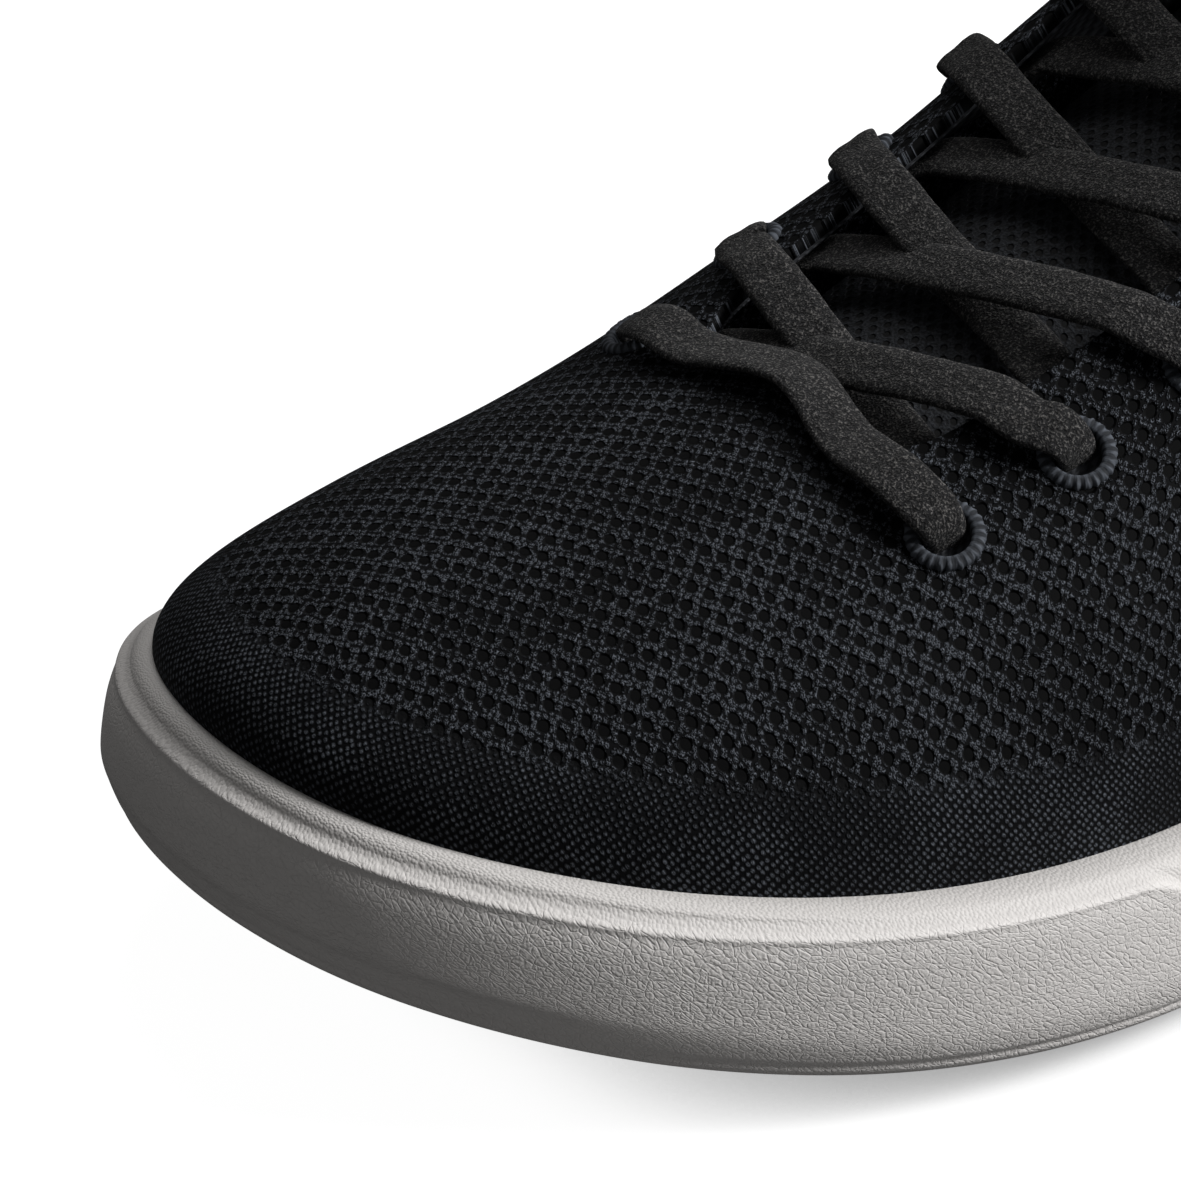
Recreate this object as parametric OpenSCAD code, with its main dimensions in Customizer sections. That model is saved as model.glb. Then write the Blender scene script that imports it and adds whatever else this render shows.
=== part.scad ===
// Left low-top running shoe with knit upper, foam cup sole and flat laces.
// Millimetres. Toe points to -Y, heel to +Y, the outer (lateral) side is +X.
// The tread rests on Z = 0.

/* [Size] */

// Length of the sole from heel to toe tip
sole_len = 298; // [292:1:304]
// Height that the tip of the sole lifts off the ground
toe_spring = 17.5; // [12:0.5:20]

/* [Upper] */

// Thickness of the knit fabric
knit_t = 1.6; // [1.2:0.1:1.6]
// Height of the top of the heel above the ground
heel_top = 98; // [94:1:104]

/* [Sole parts] */

// Thickness of the rubber tread pads
tread_t = 2.6; // [1.6:0.1:2.6]
// Thickness of the insole foam
insole_t = 4.5; // [3:0.1:4.5]

/* [Lacing] */

// Width of the flat lace
lace_w = 6.6; // [5:0.1:7]
// Thickness of the flat lace
lace_t = 1.4; // [1:0.1:1.4]

/* [Hidden] */

$fn = 48;
N = 96;
NV = 12;

// half width factors along the sole, heel 0 to toe 1: lateral and medial
kl = [[0, 66], [.03, 64], [.08, 58], [.15, 50.5], [.25, 44], [.4, 41.7], [.5, 45.5],
      [.6, 53.4], [.7, 61.6], [.8, 68.8], [.9, 75.3], [.96, 80], [1, 88]];
km = [[0, 66], [.03, 63], [.08, 56], [.15, 48.5], [.25, 39.5], [.4, 33.5], [.5, 37.1],
      [.6, 47.5], [.7, 57.1], [.8, 64.9], [.9, 75], [.96, 86], [1, 95]];
// wall height, inset of the rim, height of the foot bed floor
wh = [[0, 31], [.15, 29.5], [.3, 27], [.45, 24.6], [.6, 23.6], [.75, 23.3], [.9, 22.2],
      [1, 20.8]];
ri = [[0, 6], [.3, 6.4], [.6, 7.2], [.8, 7], [1, 6]];
fl = [[0, 21.5], [.3, 18], [.6, 14], [.8, 13], [1, 11]];
// top edge of the upper, by share of the way from heel to toe: x, y, z
te = [[0, 0, 137, heel_top], [.1, 14, 132.5, heel_top - 1], [.2, 27, 115, 88],
      [.3, 33, 84, 78.5], [.4, 33, 46, 84], [.45, 29.5, 29, 95], [.48, 26, 20, 101],
      [.55, 23.6, -8, 86], [.6, 21.6, -32, 75], [.65, 20.3, -50, 68], [.7, 19.1, -63, 63.6],
      [.74, 17, -68.5, 61.7], [.8, 13, -70.5, 61.6], [.9, 6.5, -71, 62],
      [1, 0, -71.2, 62.2]];
// bulge of the upper: rise and swell above the rim, reach and drop below the top edge
bz = [[0, 26, 3, -4, 26], [.2, 26, 4, 3, 24], [.3, 22, 4, 4, 22], [.4, 26, 4, 5, 20],
      [.5, 32, 3, 13, 10], [.6, 24, 1, 16, 7], [.7, 15, .5, 22, 9], [.8, 12, .3, 30, 9],
      [.9, 11, .6, 34, 8], [1, 12, 1, 36, 8]];
// eyelets: angle round the shoe and share of the way up the side
el = [[127.4, .8], [117.1, .8], [108.8, .79], [102, .77], [94.8, .76], [88.2, .79]];
em = [[231.6, .845], [242.8, .835], [251.5, .81], [258.9, .75], [266.4, .72], [272.8, .75]];

// smooth curve through a table
function seg(t, x, i = 0) = i >= len(t) - 2 || x < t[i + 1][0] ? i : seg(t, x, i + 1);
function slo(t, i, c) = let(a = max(i - 1, 0), b = min(i + 1, len(t) - 1))
  (t[b][c] - t[a][c]) / (t[b][0] - t[a][0]);
function tb(t, x, c = 1) = let(i = seg(t, x), h = t[i + 1][0] - t[i][0],
  u = (x - t[i][0]) / h, v = u * u, w = v * u)
  (2 * w - 3 * v + 1) * t[i][c] + (w - 2 * v + u) * h * slo(t, i, c)
  + (3 * v - 2 * w) * t[i + 1][c] + (w - v) * h * slo(t, i + 1, c);
function cl(x, a, b) = max(a, min(b, x));
function unit(v) = v / norm(v);

// sole outline at angle a: 0 heel, 90 lateral, 180 toe, 270 medial
function sof(a) = (1 - cos(a)) / 2;
function shf(s) = -9 * pow(cl((s - .62) / .38, 0, 1), 2);
function spr(s) = toe_spring * pow(cl((s - .62) / .38, 0, 1), 2)
  + 4 * pow(cl((.1 - s) / .1, 0, 1), 2);
function opt(a) = let(s = sof(a))
  [sin(a) * (sin(a) >= 0 ? tb(kl, s) : tb(km, s)) + shf(s), sole_len * (.5 - s)];
function onr(a) = let(d = opt(a + .5) - opt(a - .5)) unit([-d[1], d[0]]);
function off(a, g, z) = let(p = opt(a), n = onr(a)) [p[0] - n[0] * g, p[1] - n[1] * g, z];

// upper surface: four-point curve from the sole rim to the top edge
function rimp(a) = let(s = sof(a)) off(a, tb(ri, s), spr(s) + tb(wh, s));
function uof(a) = a <= 180 ? a / 180 : (360 - a) / 180;
function med(a) = a <= 180 ? 0
  : cl((uof(a) - .45) / .1, 0, 1) * cl((1 - uof(a)) / .2, 0, 1);
function topp(a) = let(u = uof(a), g = a <= 180 ? 1 : -1)
  [g * tb(te, u, 1) - 2.5 * med(a), tb(te, u, 2), tb(te, u, 3) - 1.2 * med(a)];
function ray(a) = let(u = uof(a), n = onr(a), p = rimp(a), t = topp(a),
  d = unit([p[0] - t[0], p[1] - t[1]]))
  [p, p + [n[0] * tb(bz, u, 2), n[1] * tb(bz, u, 2), tb(bz, u, 1)],
   t + [d[0] * tb(bz, u, 3), d[1] * tb(bz, u, 3), -tb(bz, u, 4)], t];
function bez(r, v) = let(w = 1 - v)
  w * w * w * r[0] + 3 * w * w * v * r[1] + 3 * w * v * v * r[2] + v * v * v * r[3];
function surf(a, v) = bez(ray(a), v);
function snr(a, v) = unit(cross(surf(a, v + .01) - surf(a, v - .01),
  surf(a + 1, v) - surf(a - 1, v)));
function ang(i) = (i + .5) * 360 / N;
rays = [for (i = [0 : N - 1]) ray(ang(i))];
grid = [for (i = [0 : N - 1]) [for (j = [0 : NV]) bez(rays[i], j / NV)]];
function gm(i) = ((i % N) + N) % N;
function gn(i, j) = unit(cross(
  grid[gm(i)][min(j + 1, NV)] - grid[gm(i)][max(j - 1, 0)],
  grid[gm(i + 1)][j] - grid[gm(i - 1)][j]));
nrm = [for (i = [0 : N - 1]) [for (j = [0 : NV]) gn(i, j)]];
function gp(i, j, d) = grid[gm(i)][j] - nrm[gm(i)][j] * d;

// closed solid through a list of rings with the same even number of points
function tri(m, n, loop) = concat(
  [for (r = [0 : m - (loop ? 1 : 2)], k = [0 : n - 1], h = [0, 1])
    let(a = r * n + k, b = r * n + (k + 1) % n, q = (r + 1) % m,
        c = q * n + (k + 1) % n, d = q * n + k) h == 0 ? [a, b, c] : [a, c, d]],
  loop ? [] : [for (e = [0, 1], k = [0 : n / 2 - 2], h = [0, 1])
    let(o = e * (m - 1) * n, a = o + k, b = o + k + 1, c = o + n - 2 - k, d = o + n - 1 - k,
        f = h == 0 ? [a, c, b] : [a, d, c]) e == 0 ? f : [f[0], f[2], f[1]]]);
function vol(p, f) = let(v = [for (t = f) p[t[0]] * cross(p[t[1]] - p[0], p[t[2]] - p[0])
  - p[0] * cross(p[t[1]] - p[0], p[t[2]] - p[0])]) v * [for (t = f) 1];
module rings(r, loop = false) {
  p = [for (a = r) each a];
  f = tri(len(r), len(r[0]), loop);
  g = vol(p, f) > 0 ? [for (t = f) [t[0], t[2], t[1]]] : f;
  polyhedron(p, g, convexity = 8);
}
function loopat(fn_g, fn_z) = [for (i = [0 : N - 1]) off(ang(i), fn_g[i], fn_z[i])];
function hz(k, add) = [for (i = [0 : N - 1]) let(s = sof(ang(i)))
  spr(s) + (k == 0 ? 0 : k == 1 ? tb(fl, s) : tb(wh, s)) + add];
function ins(c, add) = [for (i = [0 : N - 1]) c * tb(ri, sof(ang(i))) + add];
// patch of the upper surface between two depths
module patch(i0, i1, j0, j1, d0, d1) {
  rings([for (i = [i1 : -1 : i0]) concat(
    [for (j = [j0 : j1]) gp(i, j, d0(i, j))],
    [for (j = [j1 : -1 : j0]) gp(i, j, d1(i, j))])]);
}

// sole ---------------------------------------------------------------
module pad(i0, i1) {
  a = concat([for (i = [i0 : i1]) i], [for (i = [i1 : -1 : i0]) N - 1 - i]);
  rings([for (z = [0, tread_t]) [for (i = a) let(s = sof(ang(i)))
    off(ang(i), 9, spr(s) + z)]]);
}
module outsole_forefoot() color("#b9b4ae") pad(21, 45);
module outsole_heel() color("#b9b4ae") pad(2, 17);
wl = [[7.2, .5], [3.3, 2], [1.4, 4.2], [.2, 7.5]];
wf = [[0, .52, 0, .45], [.05, .8, .14, .7], [.16, .93, .36, .87], [.38, .985, .58, .955],
      [.7, 1, .8, .99], [1, 1, 1, 1]];
module midsole() color("#d8d4cf")
  rings(concat(
    [loopat(ins(0, 8.9), hz(0, tread_t + .1)), loopat(ins(0, 8.8), hz(0, .5))],
    [for (w = wl) loopat(ins(0, w[0]), hz(0, w[1]))],
    [for (w = wf) [for (i = [0 : N - 1]) let(s = sof(ang(i)), q = cl((s - .8) / .17, 0, 1))
      off(ang(i), (w[0] + (w[2] - w[0]) * q) * tb(ri, s),
          spr(s) + (w[1] + (w[3] - w[1]) * q) * tb(wh, s))]],
    [loopat(ins(1, .05), hz(1, 0))]));
module slab(g, z0, z1) rings([loopat(ins(1, g), hz(1, z0)), loopat(ins(1, g), hz(1, z1))]);
module strobel_board() color("#e8e4d8") slab(2.1, .05, 1.25);
module insole_foam() color("#8c8f94") slab(2.4, 1.3, 1.3 + insole_t);
module insole_cover() color("#2e3034") slab(2.4, 1.35 + insole_t, 2.15 + insole_t);

// upper --------------------------------------------------------------
module shell() rings(concat(
  [loopat(ins(1, .1), hz(1, .1))],
  [for (j = [0 : NV]) [for (i = [0 : N - 1]) gp(i, j, j == 0 ? .05 : 0)]],
  [for (j = [NV : -1 : 0]) [for (i = [0 : N - 1]) gp(i, j, knit_t)]],
  [loopat(ins(1, .1 + knit_t), hz(1, .1))]), loop = true);
function eye(sd, k) = sd > 0 ? el[k] : em[k];
function ec(sd, k) = surf(eye(sd, k)[0], eye(sd, k)[1]);
function en(sd, k) = snr(eye(sd, k)[0], eye(sd, k)[1]);
// unit vector up the side, and along the row toward the ankle, at an eyelet
function eu(sd, k) = let(e = eye(sd, k), n = en(sd, k), d = surf(e[0], e[1] + .02) - ec(sd, k))
  unit(d - n * (d * n));
module at_eye(sd, k) {
  n = en(sd, k);
  u = eu(sd, k);
  w = cross(n, u);
  c = ec(sd, k);
  multmatrix([[u[0], w[0], n[0], c[0]], [u[1], w[1], n[1], c[1]],
              [u[2], w[2], n[2], c[2]]]) children();
}
module bores(sd) for (k = [0 : 5]) at_eye(sd, k)
  translate([0, 0, -6]) cylinder(r = 4.35, h = 9);
module knit_upper() color("#1d2024") difference() {
  shell();
  bores(1);
  bores(-1);
}
function flat(v) = function(i, j) v;
module toe_puff() color("#c9c2b4") patch(36, 59, 0, 4, flat(1.7), flat(2.4));
module heel_counter() color("#c9c2b4") patch(-16, 15, 0, 6, flat(1.7), flat(2.95));
function ai(i) = abs(i + .5);
function lin(i, j) = 3.15 + 3.8 * cl((20.5 - ai(i)) / 5, 0, 1)
  * (j <= 6 ? 0 : j == 7 ? .25 : j == 8 ? .7 : j == 12 ? .85 : 1);
module collar_foam() color("#6d7075")
  patch(-20, 19, 7, 12, flat(1.85), function(i, j) lin(i, j) - .4);
module quarter_lining() color("#33363b")
  patch(-20, 19, 0, 12, function(i, j) lin(i, j), function(i, j) lin(i, j) + .8);
bp = [[-.5, .25], [-.35, 1.1], [.12, 1.9], [.3, 2.5], [.5, 2.7], [.7, 2.5], [.88, 1.9],
      [1, .25]];
module collar_binding() color("#24272b") rings([for (i = [-21 : 20]) let(
    w = 1.7 + lin(i, 12) * cl((21.5 - ai(i)) / 3, 0, 1), n = nrm[gm(i)][NV],
    u = unit(grid[gm(i)][NV] - grid[gm(i)][NV - 1]), p = grid[gm(i)][NV])
  [for (b = bp) p - n * (b[0] <= 0 ? b[0] : b[0] * w) + u * b[1]]]);
module stay(sd, i0, i1) difference() {
  patch(i0, i1, 7, 12, flat(knit_t + .08), flat(knit_t + .65));
  bores(sd);
}
module eyestay_lateral() color("#2a2d31") stay(1, 21, 36);
module eyestay_medial() color("#2a2d31") stay(-1, 59, 74);
module ring_set(sd) for (k = [0 : 5]) at_eye(sd, k) rotate_extrude() polygon(
  [[2.9, -2.25], [4.3, -2.25], [4.3, .25], [4, .6], [3.2, .6], [2.9, .3]]);
module eyelets_lateral() color("#4a4f57") ring_set(1);
module eyelets_medial() color("#4a4f57") ring_set(-1);

// tongue -------------------------------------------------------------
// y, crown height, half width, side drop
tg = [[-80, 56, 17, .011], [-71, 57.2, 20, .012], [-63, 58.8, 21.5, .012],
      [-50, 63.2, 22.5, .0125], [-32, 70.3, 23, .0135], [-8, 81.2, 23.5, .017],
      [20, 96.4, 24, .018], [35, 105.6, 25.5, .016], [46, 112.8, 25.5, .015],
      [52, 116.8, 20, .015], [55, 119, 13, .015]];
// depth of the layers below the outer face along the tongue: knit, foam, lining
function tp(y, f, d) = let(h = tb(tg, y, 2), x = f * h)
  [x - 1, y + d * .5, tb(tg, y, 1) - tb(tg, y, 3) * x * x - d];
ty = [-80, -76, -71, -66, -60, -54, -46, -38, -30, -22, -14, -6, 2, 10, 18, 26, 34, 40,
      45, 49, 52, 54, 55];
function tth(y) = y < -60 ? 1 : y < -30 ? 1 + (y + 60) / 15 : y < 44 ? 3 : 2.4;
module tongue_knit() color("#1d2024") rings([for (y = ty) concat(
  [for (k = [-5 : 5]) tp(y, k / 5, 0)],
  [for (k = [5 : -1 : -5]) tp(y, k / 5, 1.5)])]);
module tongue_foam() color("#6d7075") rings([for (y = ty) concat(
  [for (k = [-5 : 5]) tp(y, k / 5, 1.7)],
  [for (k = [5 : -1 : -5]) tp(y, k / 5, 1.7 + tth(y))])]);
module tongue_lining() color("#33363b") rings([for (y = ty) concat(
  [for (k = [-5 : 5]) tp(y, k / 5, 1.9 + tth(y))],
  [for (k = [5 : -1 : -5]) tp(y, k / 5, 2.7 + tth(y))])]);

// heel pull loop -----------------------------------------------------
// centre line of the webbing, Y and Z
hb = [[138.2, 89], [139.3, 94], [140.4, 100], [141.3, 106], [144, 110.6], [148.4, 111.4],
      [151.4, 107.5], [151, 101], [147.6, 95], [143, 91], [140.6, 89]];
function hd(i) = unit(hb[min(i + 1, len(hb) - 1)] - hb[max(i - 1, 0)]);
function ho(i, d) = [hb[i][0] - hd(i)[1] * d, hb[i][1] + hd(i)[0] * d];
module yz(w) rotate([90, 0, 90]) linear_extrude(w, center = true)
  children();
module heel_pull_tab() color("#24272b") yz(12) difference() {
  polygon(concat([[137.6, 88.6]], [for (i = [0 : len(hb) - 1]) ho(i, .7)], [[141, 88.6]]));
  polygon([for (i = [1 : len(hb) - 2]) ho(i, -.7)]);
}
module heel_tab_patch() color("#24272b") yz(16)
  polygon([[136.75, 78], [138.6, 78], [141.2, 80], [141.2, 88.3], [136.9, 88.3]]);

// lace ---------------------------------------------------------------
// share of the way from heel to toe of the ray that meets the throat edge at each y
yu = [[-70.5, .8], [-68.5, .74], [-63, .7], [-50, .65], [-32, .6], [-8, .55], [20, .48],
      [29, .45]];
function eang(sd, y) = let(u = tb(yu, y)) sd > 0 ? 180 * u : 360 - 180 * u;
function skin(a, v, h) = surf(a, v) + snr(a, min(v, .985)) * h;
function edge(sd, y, h) = skin(eang(sd, y), 1, h);
function between(sd, k, y, h) = let(e = eye(sd, k))
  skin(e[0] * .5 + eang(sd, y) * .5, .5 + e[1] * .5, h);
// one pass through an eyelet: [position, face direction, width, thickness]
function tang(v, n) = unit(v - n * (v * n));
function nedge(sd, y) = snr(eang(sd, y), .985);
function nbetw(sd, k, y) = let(e = eye(sd, k))
  snr(e[0] * .5 + eang(sd, y) * .5, .5 + e[1] * .5);
function pass(sd, k) = let(c = ec(sd, k), n = en(sd, k), y = c[1],
    a = k == 0 ? surf(sd > 0 ? 147 : 213, .97) + [0, -1, 1.6] : edge(sd, y - 4, 1.9),
    b = edge(sd, y + 4.5, k > 2 ? -4.2 : -3.7), d = tang(c - a, n), e = tang(c - b, n)) concat(
  k == 0 ? [[a, [sd * .2, -.2, 1], lace_w, lace_t],
            [c + (a - c) * .55 + n * 2.1, n, lace_w, lace_t]]
         : [[a, nedge(sd, y - 4), lace_w, lace_t],
            [between(sd, k, y - 4, 2.2), nbetw(sd, k, y - 4), lace_w, lace_t]],
  [[c - d * 3.2 + n * 2.3, n, 5.2, lace_t * 1.1],
   [c - d * .6 + n * 1.3, n + d * .6, 4, 1.7],
   [c + n * -.6, d + e, 3.7, 1.9],
   [c - n * 2.3, d + e - n * .4, 3.7, 1.9],
   [c - e * 1.8 - n * 3.8, e * .5 - n, 4.4, 1.5],
   [between(sd, k, y + 4.5, k > 2 ? -4.3 : -3.8), -nbetw(sd, k, y + 4.5), 5.8, lace_t],
   [b, -nedge(sd, y + 4.5), lace_w, lace_t]]);
function flip(p, g) = [for (q = p) [q[0], q[1] * g, q[2], q[3]]];
function midp(s0, k) = let(p = edge(s0, ec(s0, k)[1] + 4.5, -3.4),
  q = edge(-s0, ec(-s0, k + 1)[1] - 4, 1.7), m = (p + q) / 2, n = [0, -.45, .9])
  [m + n * (s0 < 0 ? 1.15 : -1.05), n, lace_w, lace_t];
function half(s0) = [for (k = [0 : 5]) let(sd = k % 2 == 0 ? s0 : -s0,
    g = k % 2 == 0 ? 1 : -1)
  each concat(flip(pass(sd, k), g), k < 5 ? flip([midp(sd, k)], -g) : [])];
function knot(s0) = let(sd = -s0)
  [[[sd * 15, 22, 100.6], [0, .3, -1], lace_w, lace_t],
   [[sd * 3, 22.5, 103.4], [0, .3, -1], 5, 2]];
// width direction at each waypoint from its face and the run of the lace
function wdir(p, i) = let(t = unit(p[min(i + 1, len(p) - 1)][0] - p[max(i - 1, 0)][0]))
  unit(cross(p[i][1], t));
function rev(p) = [for (i = [len(p) - 1 : -1 : 0]) p[i]];
sect = [[-.5, -.22], [-.36, -.5], [.36, -.5], [.5, -.22], [.5, .22], [.36, .5], [-.36, .5],
        [-.5, .22]];
module strap(p, w) rings([for (i = [0 : len(p) - 1]) let(
    t = unit(p[min(i + 1, len(p) - 1)][0] - p[max(i - 1, 0)][0]),
    v = unit(w[i] - t * (w[i] * t)), n = cross(t, v))
  [for (q = sect) p[i][0] + v * q[0] * p[i][2] + n * q[1] * p[i][3]]]);
module lace_threaded() color("#1a1a1c") {
  h1 = concat(half(1), knot(1));
  h2 = concat(half(-1), knot(-1));
  m = [[[0, -71.8, 64.4], [0, -.2, 1], lace_w, lace_t]];
  p = concat(rev(h1), m, h2);
  n1 = len(h1);
  w1 = [for (i = [0 : n1 - 1]) wdir(concat(m, h1), i + 1)];
  w2 = [for (i = [0 : len(h2) - 1]) -wdir(concat(m, h2), i + 1)];
  strap(p, concat(rev(w1), [[0, 1, 0]], w2));
}
// free ends: start at the knot, out and back as a bow loop, then the tail
bl = [[3, 26, 107], [12, 28.5, 107.5], [22, 31, 104.5], [32, 33, 99], [35.5, 33, 89],
      [37.5, 29, 79], [39.5, 21, 72], [40.5, 11, 70], [39.5, 2.5, 75.5], [36.5, -0.5, 83.5],
      [32.5, 2, 92], [27, 6.5, 99.5], [19.5, 10.5, 103.5], [12, 10, 104], [5.5, 5, 102.5],
      [4.5, -3, 100], [9, -10, 96.5], [16, -12.5, 93.5], [20, -13, 92]];
bm = [[-3, 26, 107], [-12, 28.5, 107.5], [-22, 31, 105], [-34, 32, 98.5], [-35.5, 33, 88.5],
      [-34.5, 29.5, 78.5], [-34, 20.5, 71.5], [-35, 10, 69.5], [-36, 2, 75], [-35.5, -0.5, 83],
      [-33, 2, 92], [-28.5, 6.5, 100.5], [-20.5, 10.5, 104.5], [-12.5, 10, 104.5],
      [-5.5, 5, 102.5], [-4.5, -3, 100], [-9, -8.5, 97.5], [-15, -11, 96]];
function cat(p, i, u) = let(a = p[max(i - 1, 0)], b = p[i], c = p[min(i + 1, len(p) - 1)],
  d = p[min(i + 2, len(p) - 1)])
  .5 * (2 * b + (c - a) * u + (2 * a - 5 * b + 4 * c - d) * u * u
        + (3 * b - a - 3 * c + d) * u * u * u);
function fine(p) = concat([for (i = [0 : len(p) - 2], u = [0, .333, .667]) cat(p, i, u)],
  [p[len(p) - 1]]);
function fnr(q) = unit([q[0] / 34, 0, 1.25 - min(abs(q[0]), 40) / 34]);
module bow(pts) {
  f = fine(pts);
  m = len(f) - 1;
  p = [for (i = [0 : m]) [f[i], fnr(f[i]), i > m - 3 ? 3.2 : i > m - 5 ? 5 : lace_w,
    i > m - 3 ? 2 : lace_t]];
  strap(p, [for (i = [0 : m]) wdir(p, i)]);
}
module lace_bow_lateral() color("#1a1a1c") bow(bl);
module lace_bow_medial() color("#1a1a1c") bow(bm);
// hard tip on the end of a tail, 14 long
module aglet(pts) {
  m = len(pts) - 1;
  d = unit(pts[m] - cat(pts, m - 1, .667));
  u = unit(cross([0, 0, 1], d));
  v = cross(d, u);
  c = pts[m] + d * .1;
  multmatrix([[u[0], v[0], d[0], c[0]], [u[1], v[1], d[1], c[1]], [u[2], v[2], d[2], c[2]]])
    rotate_extrude() polygon([[0, 0], [1.5, 0], [1.5, 12.6], [1, 13.7], [0, 14]]);
}
module aglet_lateral() color("#1a1a1c") aglet(bl);
module aglet_medial() color("#1a1a1c") aglet(bm);

outsole_forefoot();
outsole_heel();
midsole();
strobel_board();
insole_foam();
insole_cover();
knit_upper();
toe_puff();
heel_counter();
collar_foam();
quarter_lining();
collar_binding();
eyestay_lateral();
eyestay_medial();
eyelets_lateral();
eyelets_medial();
tongue_knit();
tongue_foam();
tongue_lining();
heel_tab_patch();
heel_pull_tab();
lace_threaded();
lace_bow_lateral();
lace_bow_medial();
aglet_lateral();
aglet_medial();
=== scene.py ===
"""Left running shoe: knit upper, foam cup sole, flat laces.

The sole and the upper are lofted from the same few curves as the CAD model, so each
Blender piece lies where its CAD solid lies. Shape work is in millimetres; mesh_piece()
turns it into metres, the unit of the frame.
"""
import math

import bmesh
import bpy
import numpy as np
from mathutils import Matrix, Vector


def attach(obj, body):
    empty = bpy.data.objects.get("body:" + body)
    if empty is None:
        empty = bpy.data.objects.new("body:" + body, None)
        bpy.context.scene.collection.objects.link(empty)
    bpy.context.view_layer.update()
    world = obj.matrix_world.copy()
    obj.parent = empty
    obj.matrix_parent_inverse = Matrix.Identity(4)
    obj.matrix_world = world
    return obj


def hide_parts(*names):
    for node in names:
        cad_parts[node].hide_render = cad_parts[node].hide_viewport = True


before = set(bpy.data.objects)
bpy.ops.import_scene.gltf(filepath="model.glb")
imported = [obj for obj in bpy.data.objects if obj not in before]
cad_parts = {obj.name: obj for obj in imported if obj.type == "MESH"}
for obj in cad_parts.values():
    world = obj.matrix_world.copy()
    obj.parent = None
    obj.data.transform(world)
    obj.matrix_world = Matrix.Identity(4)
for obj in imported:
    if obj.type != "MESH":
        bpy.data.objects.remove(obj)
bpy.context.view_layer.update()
scene = bpy.context.scene

# ---------------------------------------------------------------------------- camera
AZ, EL, DIST = math.radians(54.0), math.radians(31.3), 0.65
TARGET = Vector((-0.00793, -0.09391, 0.040))
back = Vector((math.sin(AZ) * math.cos(EL), -math.cos(AZ) * math.cos(EL), math.sin(EL)))
right = Vector((math.cos(AZ), math.sin(AZ), 0))
up = back.cross(right)
cam_data = bpy.data.cameras.new("camera")
cam_data.sensor_width = 36
cam_data.lens = 177.1
cam_data.clip_start = 0.01
camera = bpy.data.objects.new("camera", cam_data)
camera.matrix_world = Matrix.Translation(TARGET + back * DIST) @ Matrix(
    (right, up, back)).transposed().to_4x4()
scene.collection.objects.link(camera)
scene.camera = camera


# ---------------------------------------------------------------------------- curves
def table(rows, x, col=1):
    """Smooth value of one column of a table at x."""
    rows = np.asarray(rows, float)
    xs, ys = rows[:, 0], rows[:, col]
    lo = np.maximum(np.arange(len(xs)) - 1, 0)
    hi = np.minimum(np.arange(len(xs)) + 1, len(xs) - 1)
    m = (ys[hi] - ys[lo]) / (xs[hi] - xs[lo])
    x = np.asarray(x, float)
    k = np.clip(np.searchsorted(xs, x, side="right") - 1, 0, len(xs) - 2)
    h = xs[k + 1] - xs[k]
    u = (x - xs[k]) / h
    v, w = u * u, u * u * u
    return ((2 * w - 3 * v + 1) * ys[k] + (w - 2 * v + u) * h * m[k]
            + (3 * v - 2 * w) * ys[k + 1] + (w - v) * h * m[k + 1])


def step(a, b, x):
    """0 below a, 1 above b, smooth between."""
    u = np.clip((x - a) / (b - a), 0, 1)
    return u * u * (3 - 2 * u)


def unit(v):
    return v / np.linalg.norm(v, axis=-1, keepdims=True)


SOLE_LEN, TOE_SPRING, HEEL_TOP, KNIT = 298.0, 17.5, 98.0, 1.6
# half widths of the sole by share of its length, then heights and widths of its wall
K_LAT = [(0, 66), (.03, 64), (.08, 58), (.15, 50.5), (.25, 44), (.4, 41.7), (.5, 45.5),
         (.6, 53.4), (.7, 61.6), (.8, 68.8), (.9, 75.3), (.96, 80), (1, 88)]
K_MED = [(0, 66), (.03, 63), (.08, 56), (.15, 48.5), (.25, 39.5), (.4, 33.5), (.5, 37.1),
         (.6, 47.5), (.7, 57.1), (.8, 64.9), (.9, 75), (.96, 86), (1, 95)]
WALL = [(0, 31), (.15, 29.5), (.3, 27), (.45, 24.6), (.6, 23.6), (.75, 23.3), (.9, 22.2),
        (1, 20.8)]
RIM_IN = [(0, 6), (.3, 6.4), (.6, 7.2), (.8, 7), (1, 6)]
FLOOR = [(0, 21.5), (.3, 18), (.6, 14), (.8, 13), (1, 11)]
# upper edge of the upper, from heel to toe: x, y, z
TOP = [(0, 0, 137, HEEL_TOP), (.1, 14, 132.5, HEEL_TOP - 1), (.2, 27, 115, 88),
       (.3, 33, 84, 78.5), (.4, 33, 46, 84), (.45, 29.5, 29, 95), (.48, 26, 20, 101),
       (.55, 23.6, -8, 86), (.6, 21.6, -32, 75), (.65, 20.3, -50, 68),
       (.7, 19.1, -63, 63.6), (.74, 17, -68.5, 61.7), (.8, 13, -70.5, 61.6),
       (.9, 6.5, -71, 62), (1, 0, -71.2, 62.2)]
# how the side swells: rise and push at its foot, push and drop at its top edge
BULGE = [(0, 26, 3, -4, 26), (.2, 26, 4, 3, 24), (.3, 22, 4, 4, 22), (.4, 26, 4, 5, 20),
         (.5, 32, 3, 13, 10), (.6, 24, 1, 16, 7), (.7, 15, .5, 22, 9), (.8, 12, .3, 30, 9),
         (.9, 11, .6, 34, 8), (1, 12, 1, 36, 8)]
# angle and share of the height of each eyelet
EYE_LAT = [(127.4, .8), (117.1, .8), (108.8, .79), (102, .77), (94.8, .76), (88.2, .79)]
EYE_MED = [(231.6, .845), (242.8, .835), (251.5, .81), (258.9, .75), (266.4, .72),
           (272.8, .75)]


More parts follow.
